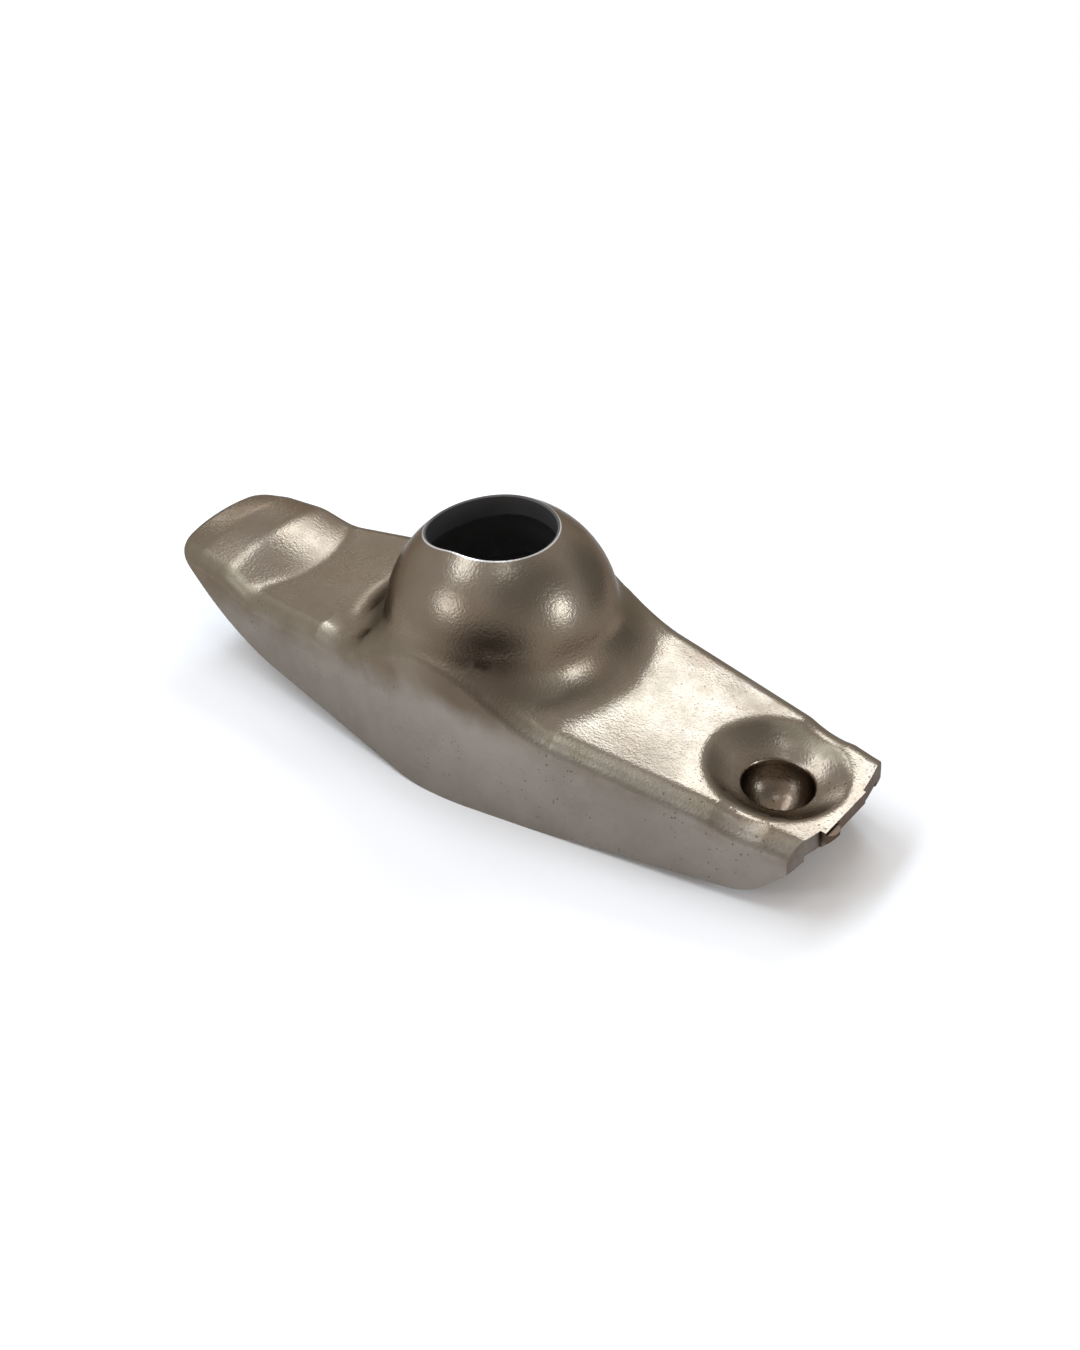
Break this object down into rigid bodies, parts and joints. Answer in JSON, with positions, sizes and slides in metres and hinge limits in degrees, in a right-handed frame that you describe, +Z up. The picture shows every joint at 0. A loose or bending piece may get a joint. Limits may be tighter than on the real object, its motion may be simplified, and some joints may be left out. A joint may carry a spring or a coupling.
{
  "type": "rocker arm",
  "caption": "Pressed sheet-steel rocker arm: channel body, domed pivot seat with stud opening, valve pad nose and pushrod socket.",
  "frame": {"origin": "centre of the spherical pivot seat, inside the dome", "axes": "+X along the arm towards the pushrod socket, +Y across it, +Z up through the stud opening; the lower wall edge under the pushrod arm is level"},
  "size_m": [0.0939, 0.0306, 0.0282],
  "materials": {
    "steel": "bronze-brown heat-treated steel, satin"
  },
  "bodies": {
    "root": {"rocker_arm": "steel"}
  },
  "joints": []
}
